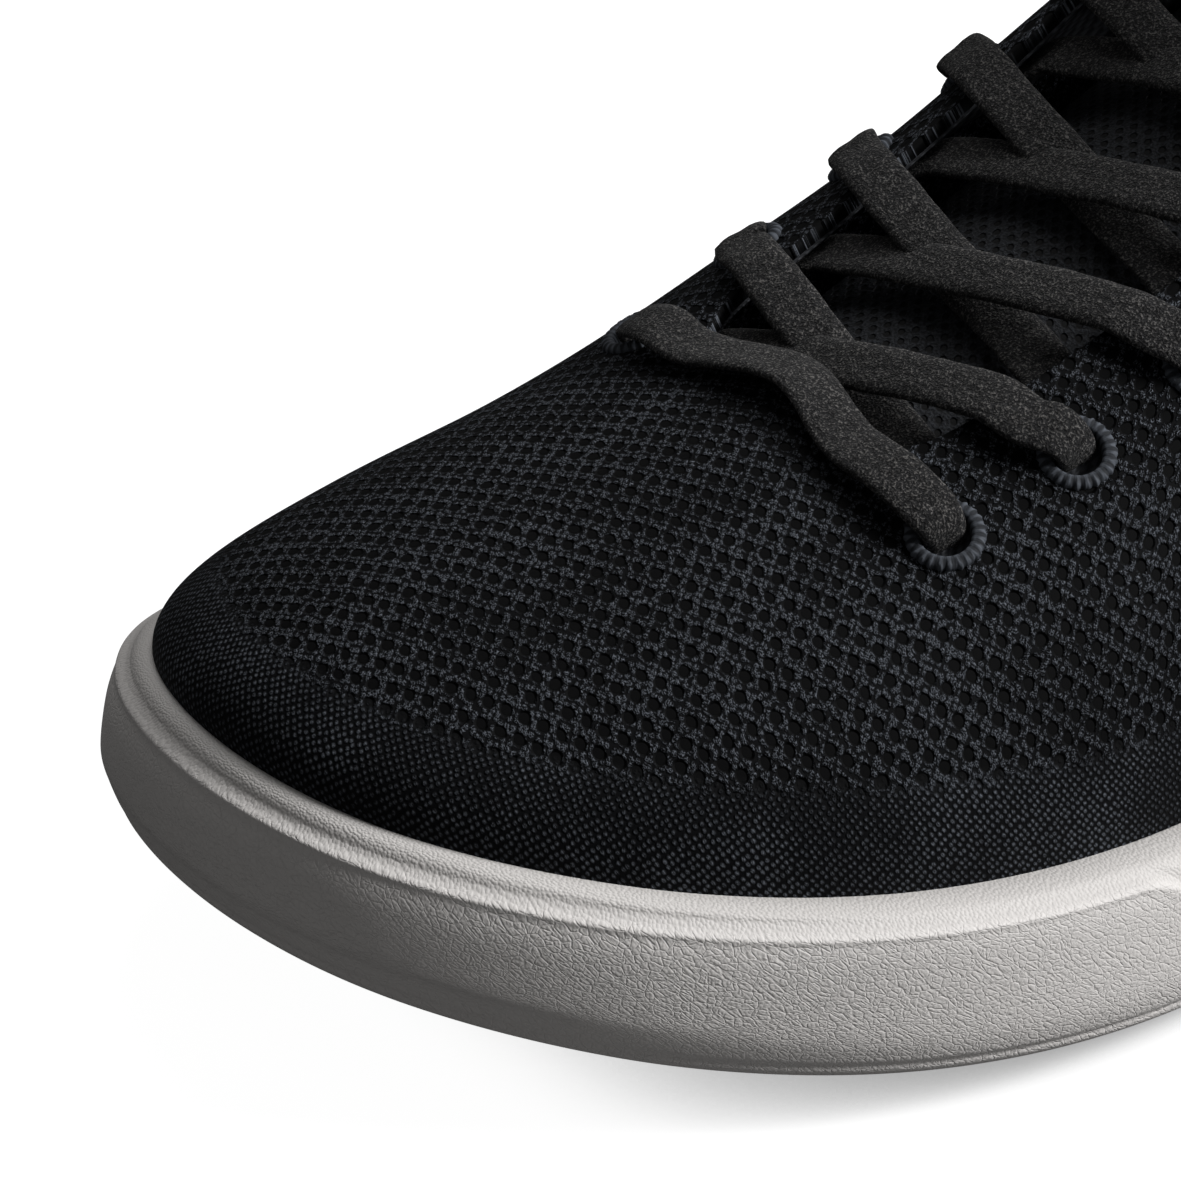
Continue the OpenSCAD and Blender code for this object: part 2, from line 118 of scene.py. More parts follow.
# ----------------------------------------------------------------- sole and upper shape
def along(a):
    """0 at the heel, 1 at the toe tip, for an angle in degrees round the sole."""
    return (1 - np.cos(np.radians(a))) / 2


def spring(s):
    """Lift of the sole off the floor at toe and heel."""
    return (TOE_SPRING * np.clip((s - .62) / .38, 0, 1) ** 2
            + 4 * np.clip((.1 - s) / .1, 0, 1) ** 2)


def outline(a):
    """Plan outline of the sole at an angle: 0 heel, 90 lateral side, 180 toe."""
    a = np.asarray(a, float)
    s = along(a)
    w = np.sin(np.radians(a))
    k = np.where(w >= 0, table(K_LAT, s), table(K_MED, s))
    shift = -9 * np.clip((s - .62) / .38, 0, 1) ** 2
    return np.stack([w * k + shift, SOLE_LEN * (.5 - s)], -1)


def inset(a, g, z):
    """Points g inside the sole's outline at height z."""
    a = np.asarray(a, float)
    d = unit(outline(a + .5) - outline(a - .5))
    n = np.stack([-d[..., 1], d[..., 0]], -1)
    p = outline(a) - n * np.reshape(np.broadcast_to(g, a.shape), a.shape + (1,))
    return np.concatenate([p, np.broadcast_to(z, a.shape)[..., None]], -1)


def share(a):
    """0 at the heel and 1 at the toe, evenly by angle, the same on both sides."""
    a = np.asarray(a, float)
    return np.where(a <= 180, a / 180, (360 - a) / 180)


def rays(a):
    """The four control points of the upper's curve at each angle."""
    a = np.asarray(a, float) % 360
    s, u = along(a), share(a)
    side = np.where(a <= 180, 1.0, -1.0)
    m = np.where(a <= 180, 0, np.clip((u - .45) / .1, 0, 1) * np.clip((1 - u) / .2, 0, 1))
    p0 = inset(a, table(RIM_IN, s), spring(s) + table(WALL, s))
    t = np.stack([side * table(TOP, u, 1) - 2.5 * m, table(TOP, u, 2),
                  table(TOP, u, 3) - 1.2 * m], -1)
    d = unit(outline(a + .5) - outline(a - .5))
    n = np.stack([-d[..., 1], d[..., 0]], -1) * table(BULGE, u, 2)[..., None]
    p1 = p0 + np.concatenate([n, table(BULGE, u, 1)[..., None]], -1)
    o = unit(p0[..., :2] - t[..., :2]) * table(BULGE, u, 3)[..., None]
    p2 = t + np.concatenate([o, -table(BULGE, u, 4)[..., None]], -1)
    return p0, p1, p2, t


def surf(a, v):
    """The outer face of the upper at angle a and share v of the way up."""
    p0, p1, p2, p3 = rays(a)
    v = np.asarray(v, float)[..., None]
    w = 1 - v
    return w ** 3 * p0 + 3 * w * w * v * p1 + 3 * w * v * v * p2 + v ** 3 * p3


def normal(a, v):
    """Outward direction of the upper."""
    a, v = np.asarray(a, float), np.asarray(v, float)
    return unit(np.cross(surf(a, v + .01) - surf(a, v - .01), surf(a + 1, v) - surf(a - 1, v)))


# ------------------------------------------------------------------------ mesh helpers
def mesh_piece(name, verts_mm, faces):
    """Smooth-shaded object from points in millimetres."""
    me = bpy.data.meshes.new(name)
    me.from_pydata((np.asarray(verts_mm) / 1000).tolist(), [], faces)
    me.update()
    me.shade_smooth()
    ob = bpy.data.objects.new(name, me)
    scene.collection.objects.link(ob)
    return ob


def grid_faces(m, n, wrap_m=False, wrap_n=False):
    """Quads of an m by n grid of points."""
    f = []
    for r in range(m if wrap_m else m - 1):
        q = (r + 1) % m
        for k in range(n if wrap_n else n - 1):
            j = (k + 1) % n
            f.append((r * n + k, r * n + j, q * n + j, q * n + k))
    return f


def caps(m, n, turn_last=False):
    """Strips that close the first and last of m rings of n points, mirrored in the ring."""
    f = []
    for base in (0, (m - 1) * n):
        for k in range(n // 2 - 1):
            q = (base + k, base + k + 1, base + n - 2 - k, base + n - 1 - k)
            f.append(q[::-1] if turn_last and base else q)
    return f


def outward(ob):
    """Turns every face to the outside."""
    bm = bmesh.new()
    bm.from_mesh(ob.data)
    bmesh.ops.recalc_face_normals(bm, faces=bm.faces)
    bm.to_mesh(ob.data)
    bm.free()
    return ob


def finish_piece(ob, body, mat, slot, *nodes):
    """Material, the CAD solids it stands for, and the body it rides on; the slot argument is not
    used.
    """
    ob.data.materials.clear()
    ob.data.materials.append(mat)
    if nodes:
        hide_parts(*nodes)
    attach(ob, body)
    return ob


def spline(points, n):
    """Catmull-Rom curve through points with n steps in each span."""
    p = np.asarray(points, float)
    out = []
    for i in range(len(p) - 1):
        a, b, c, d = p[max(i - 1, 0)], p[i], p[i + 1], p[min(i + 2, len(p) - 1)]
        for u in np.arange(n) / n:
            out.append(.5 * (2 * b + (c - a) * u + (2 * a - 5 * b + 4 * c - d) * u * u
                             + (3 * b - a - 3 * c + d) * u ** 3))
    out.append(p[-1])
    return np.array(out)


def strap(name, pts, across, width, thick, sides=16, edge=.62):
    """A flat woven strap along pts; across is the width direction at each point."""
    pts = np.asarray(pts, float)
    t = unit(np.gradient(pts, axis=0))
    v = unit(across - t * np.sum(across * t, -1, keepdims=True))
    n = np.cross(t, v)
    q = np.arange(sides) / sides * 2 * np.pi
    cx = np.sign(np.cos(q)) * np.abs(np.cos(q)) ** edge / 2
    cy = np.sign(np.sin(q)) * np.abs(np.sin(q)) ** .8 / 2
    cy *= 1 - .16 * np.exp(-(cx / .12) ** 2)
    w = np.broadcast_to(width, len(pts))[:, None, None]
    h = np.broadcast_to(thick, len(pts))[:, None, None]
    ring = (pts[:, None] + v[:, None] * cx[None, :, None] * w
            + n[:, None] * cy[None, :, None] * h)
    m = len(pts)
    verts = ring.reshape(-1, 3)
    faces = grid_faces(m, sides, wrap_n=True)
    faces += [tuple(range(sides))[::-1], tuple((m - 1) * sides + k for k in range(sides))]
    ob = outward(mesh_piece(name, verts, faces))
    run = np.concatenate([[0], np.cumsum(np.linalg.norm(np.diff(pts, axis=0), axis=1))])
    add_uv(ob, "flat", np.stack([np.repeat(run, sides),
                                 np.tile(cx, m) * np.repeat(w[:, 0, 0], sides)], -1) / 1000)
    return ob


def resample(rows, pitch):
    """Smooth curve through rows (first three columns a point) with even steps."""
    rows = np.asarray(rows, float)
    run = np.concatenate([[0], np.cumsum(np.linalg.norm(np.diff(rows[:, :3], axis=0), axis=1))])
    at = np.linspace(0, run[-1], int(run[-1] / pitch) + 1)
    cols = [table(np.column_stack([run, c]), at) for c in rows.T]
    return np.stack(cols, -1)


def add_uv(ob, name, uv):
    """A UV layer from one pair of numbers per vertex."""
    layer = ob.data.uv_layers.new(name=name)
    vi = np.empty(len(ob.data.loops), int)
    ob.data.loops.foreach_get("vertex_index", vi)
    layer.data.foreach_set("uv", np.asarray(uv, np.float32)[vi].ravel())


def add_value(ob, name, values):
    """A number per vertex that a material can read."""
    layer = ob.data.attributes.new(name, "FLOAT", "POINT")
    layer.data.foreach_set("value", np.asarray(values, np.float32).ravel())


# --------------------------------------------------------------------------- materials
def put(socket, value):
    """Links a Val to a socket, or sets a plain value on it."""
    if isinstance(value, Val):
        value.look.tree.links.new(value.socket, socket)
    else:
        socket.default_value = value


class Val:
    """A number or vector made by nodes. Arithmetic on it adds math nodes."""

    def __init__(self, look, socket):
        self.look, self.socket = look, socket

    def op(self, kind, *other):
        n = self.look.tree.nodes.new("ShaderNodeMath")
        n.operation = kind
        for k, x in enumerate((self, *other)):
            put(n.inputs[k], x)
        return Val(self.look, n.outputs[0])

    def __add__(self, o):
        return self.op("ADD", o)

    def __sub__(self, o):
        return self.op("SUBTRACT", o)

    def __mul__(self, o):
        return self.op("MULTIPLY", o)

    def ramp(self, a, b, lo=0.0, hi=1.0):
        """lo below a, hi above b, smooth between."""
        n = self.look.tree.nodes.new("ShaderNodeMapRange")
        n.interpolation_type = "SMOOTHSTEP"
        for k, x in enumerate((self, a, b, lo, hi)):
            put(n.inputs[k], x)
        return Val(self.look, n.outputs[0])

    def cell(self):
        """Distance from the middle of each whole step, -0.5 to 0.5."""
        return self.op("FRACT") - 0.5


class Look:
    """A Principled material built from a few node expressions."""

    def __init__(self, name, rough=0.8, **constants):
        self.mat = bpy.data.materials.new(name)
        self.mat.use_nodes = True
        self.tree = self.mat.node_tree
        self.tree.nodes.clear()
        out = self.tree.nodes.new("ShaderNodeOutputMaterial")
        self.bsdf = self.tree.nodes.new("ShaderNodeBsdfPrincipled")
        self.tree.links.new(self.bsdf.outputs[0], out.inputs[0])
        self.bsdf.inputs["Roughness"].default_value = rough
        for key, value in constants.items():
            self.bsdf.inputs[key.replace("_", " ")].default_value = value

    def split(self, vector, scale=1.0):
        n = self.tree.nodes.new("ShaderNodeSeparateXYZ")
        put(n.inputs[0], vector)
        return [Val(self, o) * scale for o in n.outputs]

    def uv(self, name, scale=1.0):
        n = self.tree.nodes.new("ShaderNodeUVMap")
        n.uv_map = name
        return self.split(Val(self, n.outputs[0]), scale)[:2]

    def join(self, x, y, z=0.0):
        n = self.tree.nodes.new("ShaderNodeCombineXYZ")
        for k, v in enumerate((x, y, z)):
            put(n.inputs[k], v)
        return Val(self, n.outputs[0])

    def place(self):
        """The point on the piece at rest, in metres."""
        n = self.tree.nodes.new("ShaderNodeTexCoord")
        return Val(self, n.outputs["Object"])

    def attribute(self, name):
        n = self.tree.nodes.new("ShaderNodeAttribute")
        n.attribute_name = name
        return Val(self, n.outputs["Fac"])

    def noise(self, vector, scale, detail=2.0):
        n = self.tree.nodes.new("ShaderNodeTexNoise")
        put(n.inputs["Vector"], vector)
        n.inputs["Scale"].default_value = scale
        n.inputs["Detail"].default_value = detail
        return Val(self, n.outputs[0])

    def voronoi(self, vector, scale, feature="F1", random=1.0):
        n = self.tree.nodes.new("ShaderNodeTexVoronoi")
        n.voronoi_dimensions = "2D"
        n.feature = feature
        put(n.inputs["Vector"], vector)
        n.inputs["Scale"].default_value = scale
        n.inputs["Randomness"].default_value = random
        return Val(self, n.outputs["Distance"])

    def blend(self, share, a, b):
        n = self.tree.nodes.new("ShaderNodeMix")
        n.data_type = "RGBA"
        put(n.inputs[0], share)
        for socket, c in ((n.inputs[6], a), (n.inputs[7], b)):
            put(socket, c if isinstance(c, Val) else (*c, 1))
        return Val(self, n.outputs[2])

    def finish(self, colour, height, depth_mm, strength=1.0, rough=None):
        put(self.bsdf.inputs["Base Color"], colour)
        if rough is not None:
            put(self.bsdf.inputs["Roughness"], rough)
        n = self.tree.nodes.new("ShaderNodeBump")
        n.inputs["Strength"].default_value = strength
        n.inputs["Distance"].default_value = depth_mm / 1000
        put(n.inputs["Height"], height)
        self.tree.links.new(n.outputs[0], self.bsdf.inputs["Normal"])
        return self.mat


def knit_look():
    """Open knit: round holes on a slanted lattice, small yarn knots between them. The raised knots
    and seeds carry a painted highlight and the holes a painted shade.
    """
    k = Look("knit", 0.75, Specular_IOR_Level=0.08)
    u, v = k.uv("lattice")
    wob = k.noise(k.join(u, v), 0.9, 1.0) - 0.5
    u, v = u + wob * 0.25, v - wob * 0.25
    x, y = u.cell() * 2.2, v.cell() * 2.5
    hole = (x * x + y * y).op("SQRT").ramp(0.58, 0.92, 1.0, 0.0)
    fuzz = k.noise(k.join(u, v), 9.0, 3.0)
    knots = k.voronoi(k.join(u, v), 3.0, random=0.6)
    flecks = k.noise(k.join(u, v), 11.0, 2.0).ramp(0.42, 0.62, 0.12, 1.7)
    knots = knots.ramp(0.14, 0.6, 1.0, 0.0) * flecks
    s, t = k.uv("band")
    s, t = s + wob * 0.4, t + wob * 0.25
    seeds = k.voronoi(k.join((s + t) * 0.78, (s - t) * 1.05), 1.0, random=0.3)
    seeds = seeds.ramp(0.1, 0.5, 1.0, 0.0) * fuzz.ramp(0.3, 0.65, 0.35, 1.0)
    dense = t.ramp(10.5, 13.5, 1.0, 0.0)
    rest = dense * -1.0 + 1.0
    gap = hole * rest
    height = (knots * (hole * -1.0 + 1.0) + 0.25) * rest + (seeds * 0.7 + 0.25) * dense
    shade = k.noise(k.join(s, t), 0.05, 3.0).ramp(0.3, 0.7, 0.7, 1.15)
    # the yarn colour follows the knot and seed height: lighter on the raised yarn as a painted
    # highlight, with random flecks and tone
    yarn = k.blend((height * shade).ramp(0.25, 1.15), (.0022, .0024, .003),
                   (.135, .148, .172))
    # the holes are painted near black: painted shade in the holes
    return k.finish(k.blend(gap, yarn, (.0006, .0007, .0009)), height - gap * 1.2, 0.45)


def mesh_look(name, pitch=2.5, light=(.03, .033, .039)):
    """Fabric with slanted rows of small holes, the holes darkened with painted shade."""
    k = Look(name, 0.75, Specular_IOR_Level=0.2)
    x, y = k.uv("flat", 1000.0)
    a, b = ((x + y) * (1 / pitch)).cell(), ((x - y) * (1 / pitch)).cell()
    hole = (a * a * 1.5 + b * b).op("SQRT").ramp(0.22, 0.38, 1.0, 0.0)
    fuzz = k.noise(k.join(x, y), 2.6, 3.0)
    height = (hole * -1.0 + 1.0) * (fuzz * 0.6 + 0.6)
    yarn = k.blend(fuzz.ramp(0.35, 0.7), (.006, .0066, .008), light)
    # the holes are painted near black: painted shade in the holes
    return k.finish(k.blend(hole, yarn, (.0015, .0016, .002)), height, 0.5)


def felt_look():
    """Brushed lace: matt, with a fine light speckle."""
    k = Look("lace_felt", 0.95, Specular_IOR_Level=0.15, Sheen_Weight=0.05)
    at = k.place()
    fine = k.noise(at, 3600.0, 3.0)
    soft = k.noise(at, 1500.0, 3.0)
    speck = fine.ramp(0.5, 0.66) * soft.ramp(0.36, 0.6, 0.3, 1.0)
    base = k.blend(soft.ramp(0.3, 0.7), (.0055, .0055, .006), (.019, .019, .020))
    return k.finish(k.blend(speck, base, (.13, .125, .12)), fine * 0.8 + soft * 0.5, 0.45)


def foam_look():
    """Moulded foam: pebbled shoulder, leather crackle on the raised side panel, with painted shade
    in the panel's cracks and creases.
    """
    k = Look("foam_shell", 0.55)
    at = k.place()
    u, v = k.uv("wall", 1000.0)
    bend = k.noise(k.join(u, v), 0.35, 2.0) - 0.5
    lu, lv = u + bend * 2.4, v + bend * 2.0
    cracks = k.voronoi(k.join(lu, lv * 1.2), 0.95, "DISTANCE_TO_EDGE").ramp(0.0, 0.16)
    creases = k.noise(k.join((lu + lv) * 0.12, (lu - lv) * 1.5), 1.0, 2.0).ramp(0.34, 0.5)
    cross = k.noise(k.join((lu - lv) * 0.14, (lu + lv) * 1.3), 1.0, 2.0).ramp(0.34, 0.5)
    pebble = k.voronoi(k.join(u, v), 2.3).ramp(0.1, 0.75, 1.0, 0.0)
    panel = k.attribute("panel")
    grain = cracks * 0.4 + creases * 0.25 + cross * 0.22 + pebble * 0.25
    height = grain * panel + pebble * 0.42 * (panel * -1.0 + 1.0)
    cloud = k.noise(at, 22.0, 3.0)
    tint = k.blend(cloud, (.64, .615, .60), (.70, .675, .655))
    # darker where the panel's grain is low: painted shade in its cracks and creases
    painted_crack_shade = k.blend((grain * panel).ramp(0.0, 0.55, 0.16, 0.0), tint, (.33, .315, .30))
    return k.finish(painted_crack_shade, height, 0.15, 0.8, cloud.ramp(0.3, 0.7, 0.5, 0.62))


def plain_look(name, dark, light, rough, grain_mm, depth_mm, clouds=40.0, **constants):
    """Fine grain in two close shades, for boards, foams, plastics and rubber."""
    k = Look(name, rough, **constants)
    at = k.place()
    fine = k.noise(at, 1000 / grain_mm, 3.0)
    wide = k.noise(at, clouds, 2.0)
    return k.finish(k.blend(fine * 0.5 + wide * 0.5, dark, light), fine, depth_mm)


def ribbed_look(name, dark, light, pitch, depth_mm=0.25, across=False):
    """Woven or ribbed tape: ribs along one way, threads along the other, coloured by their relief
    as painted shade and highlight.
    """
    k = Look(name, 0.75, Specular_IOR_Level=0.25)
    x, y = k.uv("flat", 1000.0)
    if across:
        x, y = y, x
    rib = (x * (6.2832 / pitch)).op("SINE") * 0.5 + 0.5
    pick = (y * (6.2832 / (pitch * 1.6)) + rib * 2.0).op("SINE") * 0.5 + 0.5
    fuzz = k.noise(k.join(x, y), 3.0, 2.0)
    height = rib * 0.6 + pick * 0.4 + fuzz * 0.3
    # colour follows the relief: painted shade between the ribs and threads, painted highlight on
    # their tops
    return k.finish(k.blend(height.ramp(0.3, 1.1), dark, light), height, depth_mm)


KNIT_LOOK = knit_look()
TONGUE_MESH = mesh_look("tongue_mesh")
LINING = mesh_look("lining_mesh", 1.5, (.05, .055, .062))
FELT = felt_look()
FOAM = foam_look()
SATIN = ribbed_look("satin_thread", (.012, .014, .018), (.075, .084, .10), 0.9, 0.1)
BINDING = ribbed_look("binding_rib", (.006, .0066, .008), (.04, .044, .052), 1.1)
WEBBING = ribbed_look("webbing", (.006, .0066, .008), (.045, .048, .055), 1.2, 0.3, True)
STAY = ribbed_look("stay_tape", (.012, .013, .016), (.05, .053, .06), 0.8, 0.15)
COVER = mesh_look("insole_mesh", 1.8, (.09, .095, .10))
SOFT_FOAM = plain_look("soft_foam", (.10, .11, .12), (.2, .21, .23), 0.9, 0.6, 0.2)
BED_FOAM = plain_look("bed_foam", (.17, .18, .19), (.27, .28, .30), 0.9, 0.7, 0.2)
BOARD = plain_look("board", (.60, .57, .50), (.74, .71, .64), 0.85, 0.4, 0.1)
STIFFENER = plain_look("stiffener", (.48, .45, .39), (.60, .57, .50), 0.6, 0.5, 0.05)
RUBBER = plain_look("tread_rubber", (.30, .285, .27), (.38, .36, .345), 0.7, 0.35, 0.15)
AGLET = plain_look("aglet", (.006, .006, .007), (.014, .014, .016), 0.25, 1.5, 0.01,
                   Coat_Weight=0.4)


# -------------------------------------------------------------- free lace ends and tips
LW, LT = 6.6, 1.4           # lace width and thickness


def unit_path(points, face, widths, thicks):
    """Strap from waypoints whose face directions give the width direction."""
    points = np.asarray(points, float)
    t = unit(np.gradient(points, axis=0))
    across = unit(np.cross(face, t))
    return np.column_stack([points, across, widths, thicks])


def bow_face(p):
    """Direction the flat of the lace faces: up at the knot, outward at the loops."""
    x = p[:, 0]
    return unit(np.stack([x / 34, 0 * x, 1.25 - np.minimum(np.abs(x), 40) / 34], -1))


# waypoints from the knot round the loop, back through the knot and out to the tip
BOW_LATERAL = [(3, 26, 107), (12, 28.5, 107.5), (22, 31, 104.5), (32, 33, 99), (35.5, 33, 89),
               (37.5, 29, 79), (39.5, 21, 72), (40.5, 11, 70), (39.5, 2.5, 75.5),
               (36.5, -0.5, 83.5), (32.5, 2, 92), (27, 6.5, 99.5), (19.5, 10.5, 103.5),
               (12, 10, 104), (5.5, 5, 102.5), (4.5, -3, 100), (9, -10, 96.5),
               (16, -12.5, 93.5), (20, -13, 92)]
BOW_MEDIAL = [(-3, 26, 107), (-12, 28.5, 107.5), (-22, 31, 105), (-34, 32, 98.5),
              (-35.5, 33, 88.5), (-34.5, 29.5, 78.5), (-34, 20.5, 71.5), (-35, 10, 69.5),
              (-36, 2, 75), (-35.5, -0.5, 83), (-33, 2, 92), (-28.5, 6.5, 100.5),
              (-20.5, 10.5, 104.5), (-12.5, 10, 104.5), (-5.5, 5, 102.5), (-4.5, -3, 100),
              (-9, -8.5, 97.5), (-15, -11, 96)]


def make_bow(side, points):
    """One loop and tail, narrowing into its hard tip."""
    p = spline(points, 8)
    m = len(p)
    w = np.full(m, LW)
    h = np.full(m, LT)
    end = step(m - 20, m - 4, np.arange(m))
    w, h = w + (3.0 - w) * end, h + (2.2 - h) * end
    rows = unit_path(p, bow_face(p), w, h)
    ob = strap("lace_end_" + side, rows[:, :3], rows[:, 3:6], rows[:, 6], rows[:, 7])
    finish_piece(ob, "shoe", FELT, "lace_bow_" + side, "lace_bow_" + side)
    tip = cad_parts["aglet_" + side]
    for s in tip.material_slots:
        s.material = AGLET


make_bow("lateral", BOW_LATERAL)
make_bow("medial", BOW_MEDIAL)

# ------------------------------------------------------------------------------- sole
A = 720
ANG = (np.arange(A) + .5) * 360 / A
S = along(ANG)
SP, WH, RI, FL = spring(S), table(WALL, S), table(RIM_IN, S), table(FLOOR, S)
RUN = np.concatenate([[0], np.cumsum(np.linalg.norm(np.diff(outline(ANG), axis=0), axis=1))])


def wall_rows():
    """Section of the sole side from the tread up to the rim, as (inset, height) pairs."""
    q = np.clip((S - .8) / .17, 0, 1)
    rows = [(g + 0 * S, z + 0 * S) for g, z in ((7.2, .5), (3.3, 2), (1.4, 4.2), (.2, 7.5))]
    for f, fz, g, gz in ((0, .52, 0, .45), (.05, .8, .14, .7), (.16, .93, .36, .87),
                         (.38, .985, .58, .955), (.7, 1, .8, .99), (1, 1, 1, 1)):
        rows.append(((f + (g - f) * q) * RI, (fz + (gz - fz) * q) * WH))
    return spline(np.array(rows).transpose(0, 2, 1), 10)


def make_midsole():
    """Foam cup: raised panel, thin ridge along its top edge, groove over it, foot groove."""
    rows = wall_rows()
    g, z = rows[..., 0], rows[..., 1]
    q = np.clip((S - .8) / .17, 0, 1)
    # the raised side panel ends where its upper edge sweeps down, ahead of the arch
    front = 180 - np.abs(ANG - 180)
    drop = 1 - step(104, 116, front)
    top = (.95 - .055 * q) * (1 - drop) + .10 * drop
    h = z / WH
    here = step(.05, .16, h) * step(103, 107, front)
    panel = (1 - step(-.02, .012, h - top)) * here
    lip = np.exp(-((h - top + .018) / .02) ** 2) * here
    groove = np.exp(-((h - top - .03) / .018) ** 2) * here
    foot = np.exp(-((z - 4.6) / .45) ** 2)
    belly = step(.05, .3, h) * (1 - step(.95, 1, h))
    g = g - panel * .5 - lip * .28 + groove * .22 + foot * .35 + .35 * belly
    rings = [inset(ANG, np.full(A, 8.9), SP + 2.7), inset(ANG, np.full(A, 8.8), SP + .5)]
    rings += [inset(ANG, g[r], SP + z[r]) for r in range(len(g))]
    rings += [inset(ANG, RI + .02, SP + WH - .6), inset(ANG, RI + .05, SP + FL)]
    m = len(rings)
    ob = mesh_piece("midsole_shell", np.concatenate(rings),
                    grid_faces(m, A, wrap_n=True) + caps(m, A, turn_last=True))
    outward(ob)
    up = np.concatenate([[0], np.cumsum([np.linalg.norm(rings[k + 1] - rings[k], axis=1).mean()
                                         for k in range(m - 1)])])
    add_uv(ob, "wall", np.stack([np.tile(RUN, m), np.repeat(up, A)], -1) / 1000)
    full = np.zeros((m, A))
    full[2:2 + len(g)] = panel
    add_value(ob, "panel", full)
    return finish_piece(ob, "shoe", FOAM, "midsole", "midsole")


def make_slab(name, gap, z0, z1, mat, node):
    """Flat layer on the foot bed with softly rounded edges."""
    rings = []
    for g, z in ((gap + 6, z0), (gap + .4, z0), (gap, z0 + .25), (gap, z1 - .35),
                 (gap + .5, z1), (gap + 3, z1), (gap + 8, z1), (gap + 16, z1)):
        reach = np.minimum(RI + g, 30)
        rings.append(inset(ANG, reach, SP + FL + z)[::2])
    m, n = len(rings), A // 2
    ob = mesh_piece(name, np.concatenate(rings),
                    grid_faces(m, n, wrap_n=True) + caps(m, n, turn_last=True))
    outward(ob)
    add_uv(ob, "flat", np.concatenate(rings)[:, :2] / 1000)
    return finish_piece(ob, "shoe", mat, node, node)


make_midsole()
make_slab("insole_foam_pad", 2.4, 1.3, 5.8, BED_FOAM, "insole_foam")
cover = make_slab("insole_top_cover", 2.4, 5.85, 6.65, COVER, "insole_cover")

# ------------------------------------------------------------------------------ upper
NA, NV = 480, 64            # angles round the shoe, steps up the upper
HOLE = 3.6                  # radius of an eyelet's hole in the knit
FLAP_FOOT = 7 / 12          # share of the height where collar pad and tapes begin
COLLAR_END = 73.1           # degrees from the heel to the front end of the collar pad
MM_PER_DEGREE, UPPER_RISE = 1.1, 70    # spread the cloth grain of the inner layers


def eyelet(side, k):
    """Place of an eyelet, its outward normal, and its directions up and along the row."""
    a, v = (EYE_LAT if side > 0 else EYE_MED)[k]
    c, n = surf(a, v), normal(a, v)
    u = surf(a, v + .02) - c
    u = unit(u - n * (u @ n))
    return c, n, u, np.cross(n, u)


EYES = {(s, k): eyelet(s, k) for s in (1, -1) for k in range(6)}


def open_holes(points, radius):
    """Moves grid points out of each eyelet, and tells which grid cells are inside one."""
    p = points.copy()
    inside = np.zeros(p.shape[:2], bool)
    for c, n, _, _ in EYES.values():
        d = p - c
        d = d - (d @ n)[..., None] * n
        r = np.linalg.norm(d, axis=-1)
        near = (r < radius) & (np.linalg.norm(p - c, axis=-1) < radius + 2)
        inside |= near
        p[near] += (d / np.maximum(r, 1e-6)[..., None] * (radius - r)[..., None])[near]
    return p, inside


